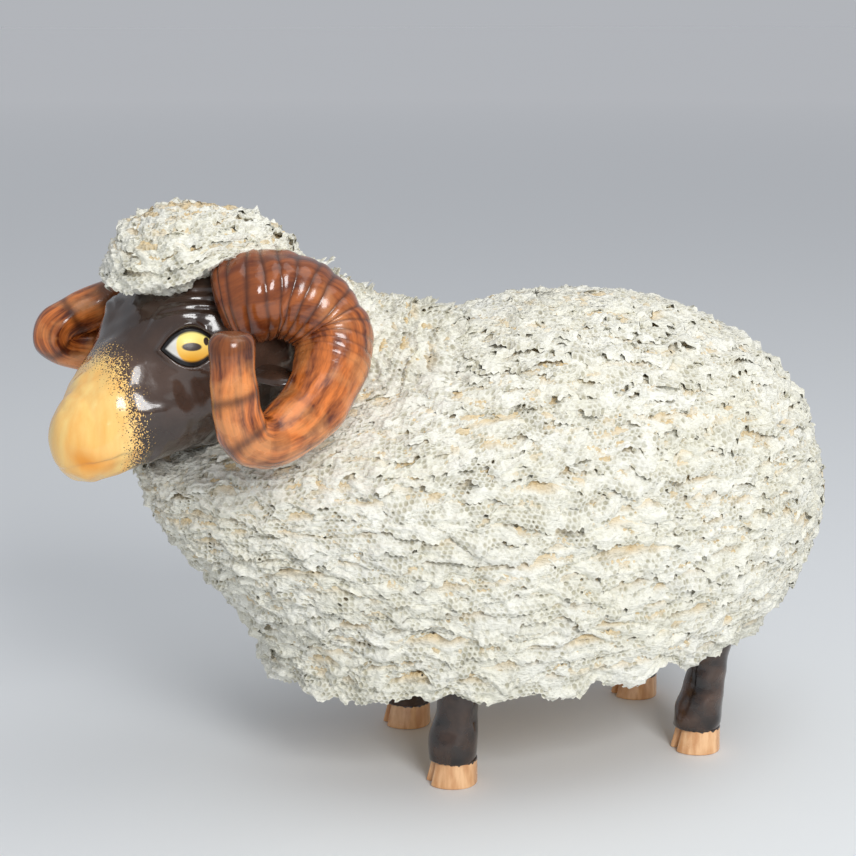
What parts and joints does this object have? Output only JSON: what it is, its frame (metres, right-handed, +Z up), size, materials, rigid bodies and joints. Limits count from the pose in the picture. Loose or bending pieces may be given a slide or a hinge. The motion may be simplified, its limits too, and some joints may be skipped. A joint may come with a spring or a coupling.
{
  "type": "ram figurine",
  "caption": "Standing ceramic ram figurine with glossy dark head and legs, curled ridged horns, painted eyes and a white fleece of overlapping lace ruffle rows.",
  "frame": {"origin": "on the ground under the middle of the whole figure's box", "axes": "+Z up, -X towards the nose, -Y towards the ram's left side, in millimetres in the source"},
  "size_m": [0.2829, 0.1418, 0.1981],
  "materials": {
    "brown_body": "bare fired clay, matte",
    "dark_glaze": "glossy dark glaze",
    "horn_glaze": "glossy streaked russet glaze",
    "hoof_glaze": "glossy tan glaze",
    "eye_glaze": "glossy painted glaze",
    "lace": "matte white fired lace slip"
  },
  "bodies": {
    "root": {"body_core": "brown_body", "neck_core": "brown_body", "head_shell": "dark_glaze", "left_horn": "horn_glaze", "right_horn": "horn_glaze", "left_eye": "eye_glaze", "right_eye": "eye_glaze", "left_ear": "dark_glaze", "right_ear": "dark_glaze", "topknot": "lace", "back_fleece": "lace", "tail": "lace", "neck_collar_1": "lace", "neck_collar_2": "lace", "neck_collar_3": "lace", "fleece_row_1": "lace", "fleece_row_2": "lace", "fleece_row_3": "lace", "fleece_row_4": "lace", "fleece_row_5": "lace", "fleece_row_6": "lace", "fleece_row_7": "lace", "fleece_row_8": "lace", "fleece_row_9": "lace", "front_left_leg": "dark_glaze", "front_right_leg": "dark_glaze", "rear_left_leg": "dark_glaze", "rear_right_leg": "dark_glaze", "front_left_hoof": "hoof_glaze", "front_right_hoof": "hoof_glaze", "rear_left_hoof": "hoof_glaze", "rear_right_hoof": "hoof_glaze"}
  },
  "joints": []
}
